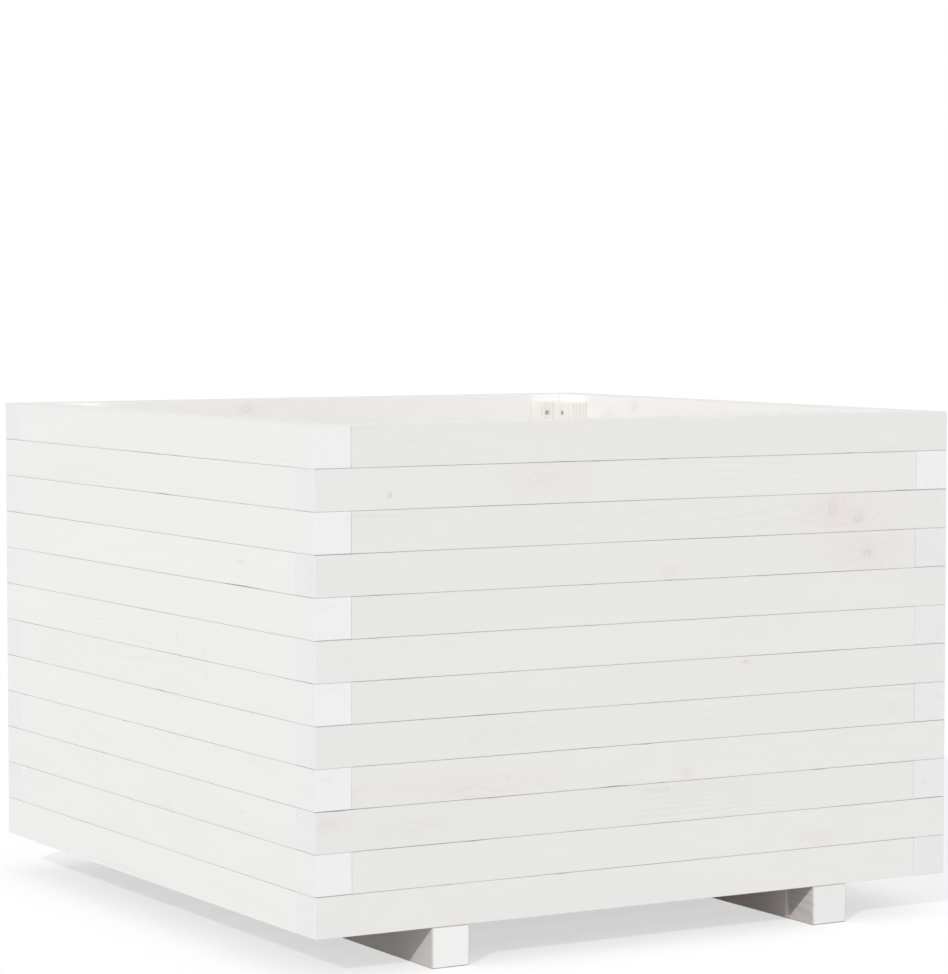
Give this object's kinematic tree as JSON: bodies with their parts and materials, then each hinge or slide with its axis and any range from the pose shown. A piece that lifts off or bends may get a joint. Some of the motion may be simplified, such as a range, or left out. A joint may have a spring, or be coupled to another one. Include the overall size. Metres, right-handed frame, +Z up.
{
  "type": "planter",
  "caption": "Square floor planter of stacked slats that lap at the corners, in white-painted pine, open at the top, with a slatted floor on runner feet.",
  "frame": {"origin": "on the ground under the middle of the box", "axes": "+Z up; the front wall faces -Y; +X to the right seen from the front; the runners lie along Y"},
  "size_m": [0.7, 0.7, 0.494],
  "materials": {
    "white_paint": "white paint on planed pine, satin, with faint grain and knots",
    "thin_white_paint": "one thin coat of white paint on pine, with the grain showing",
    "zinc_steel": "zinc-plated steel"
  },
  "bodies": {
    "root": {"front_slat_01": "white_paint", "front_slat_02": "white_paint", "front_slat_03": "white_paint", "front_slat_04": "white_paint", "front_slat_05": "white_paint", "front_slat_06": "white_paint", "front_slat_07": "white_paint", "front_slat_08": "white_paint", "front_slat_09": "white_paint", "front_slat_10": "white_paint", "front_slat_11": "white_paint", "front_slat_12": "white_paint", "right_slat_01": "white_paint", "right_slat_02": "white_paint", "right_slat_03": "white_paint", "right_slat_04": "white_paint", "right_slat_05": "white_paint", "right_slat_06": "white_paint", "right_slat_07": "white_paint", "right_slat_08": "white_paint", "right_slat_09": "white_paint", "right_slat_10": "white_paint", "right_slat_11": "white_paint", "right_slat_12": "white_paint", "back_slat_01": "white_paint", "back_slat_02": "white_paint", "back_slat_03": "white_paint", "back_slat_04": "white_paint", "back_slat_05": "white_paint", "back_slat_06": "white_paint", "back_slat_07": "white_paint", "back_slat_08": "white_paint", "back_slat_09": "white_paint", "back_slat_10": "white_paint", "back_slat_11": "white_paint", "back_slat_12": "white_paint", "left_slat_01": "white_paint", "left_slat_02": "white_paint", "left_slat_03": "white_paint", "left_slat_04": "white_paint", "left_slat_05": "white_paint", "left_slat_06": "white_paint", "left_slat_07": "white_paint", "left_slat_08": "white_paint", "left_slat_09": "white_paint", "left_slat_10": "white_paint", "left_slat_11": "white_paint", "left_slat_12": "white_paint", "left_runner": "white_paint", "right_runner": "white_paint", "left_runner_lath": "white_paint", "right_runner_lath": "white_paint", "front_battens": "thin_white_paint", "right_battens": "thin_white_paint", "back_battens": "thin_white_paint", "left_battens": "thin_white_paint", "floor_boards": "thin_white_paint", "corner_screws": "zinc_steel", "runner_screws": "zinc_steel"}
  },
  "joints": []
}
